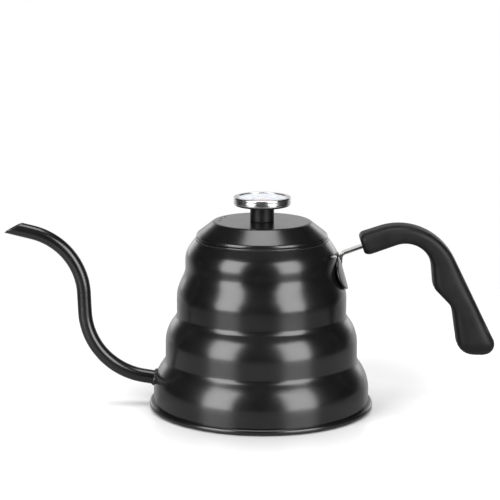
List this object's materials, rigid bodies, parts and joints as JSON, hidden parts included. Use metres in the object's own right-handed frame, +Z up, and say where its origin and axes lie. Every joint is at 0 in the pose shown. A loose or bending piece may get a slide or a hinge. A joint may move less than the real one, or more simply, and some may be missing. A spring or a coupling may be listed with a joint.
{
  "type": "gooseneck kettle",
  "caption": "Stovetop pour-over kettle with a stepped round body, slender gooseneck spout, side grip on a steel strap, and a lift-off lid with a dial thermometer.",
  "frame": {"origin": "on the body's axis, in the plane that the base stands on", "axes": "+Z up along the body's axis; spout towards -X, handle towards +X"},
  "size_m": [0.316, 0.1448, 0.1379],
  "materials": {
    "black_coat": "satin black coating on steel",
    "bare_steel": "brushed stainless steel",
    "spreader_aluminium": "plain aluminium",
    "grip_plastic": "matt moulded plastic with a soft touch",
    "post_plastic": "satin black moulded plastic",
    "seal_rubber": "black silicone rubber",
    "dial_chrome": "polished stainless steel",
    "dial_paint": "pale matt paint with printed scale",
    "dial_glass": "clear domed glass",
    "pointer_paint": "red paint",
    "brass": "turned brass",
    "bimetal": "rolled bimetal strip"
  },
  "bodies": {
    "kettle": {"body_shell": "black_coat", "mouth_ring": "black_coat", "base_pan": "black_coat", "heat_spreader": "spreader_aluminium", "base_cap": "bare_steel", "spout_tube": "black_coat", "spout_weld": "black_coat", "saddle_plate": "black_coat", "handle_strap": "bare_steel", "handle_grip": "grip_plastic"},
    "lid": {"lid_cover": "black_coat", "lid_skirt": "bare_steel", "lid_washer": "seal_rubber", "lid_nut": "bare_steel", "post_stud": "bare_steel", "knob_post": "post_plastic", "dial_case": "dial_chrome", "dial_spacer": "dial_paint", "dial_plate": "dial_paint", "dial_ring": "dial_paint", "glass_gasket": "seal_rubber", "dial_glass": "dial_glass", "dial_bezel": "dial_chrome", "probe_sheath": "bare_steel", "probe_tip": "bare_steel", "spindle_bush": "brass", "bimetal_coil": "bimetal"},
    "pointer": {"pointer_needle": "pointer_paint", "pointer_hub": "brass", "pointer_spindle": "brass"}
  },
  "joints": [
    {"name": "lid_lift", "type": "slide", "parent": "kettle", "child": "lid", "axis": [0, 0, 1], "range_m": [0, 0.08]},
    {"name": "pointer_turn", "type": "hinge", "parent": "lid", "child": "pointer", "pos_m": [0, 0, 0.1347], "axis": [0, 0, -1], "range_deg": [-30, 210], "stiffness_Nm_per_rad": 0.00002}
  ]
}
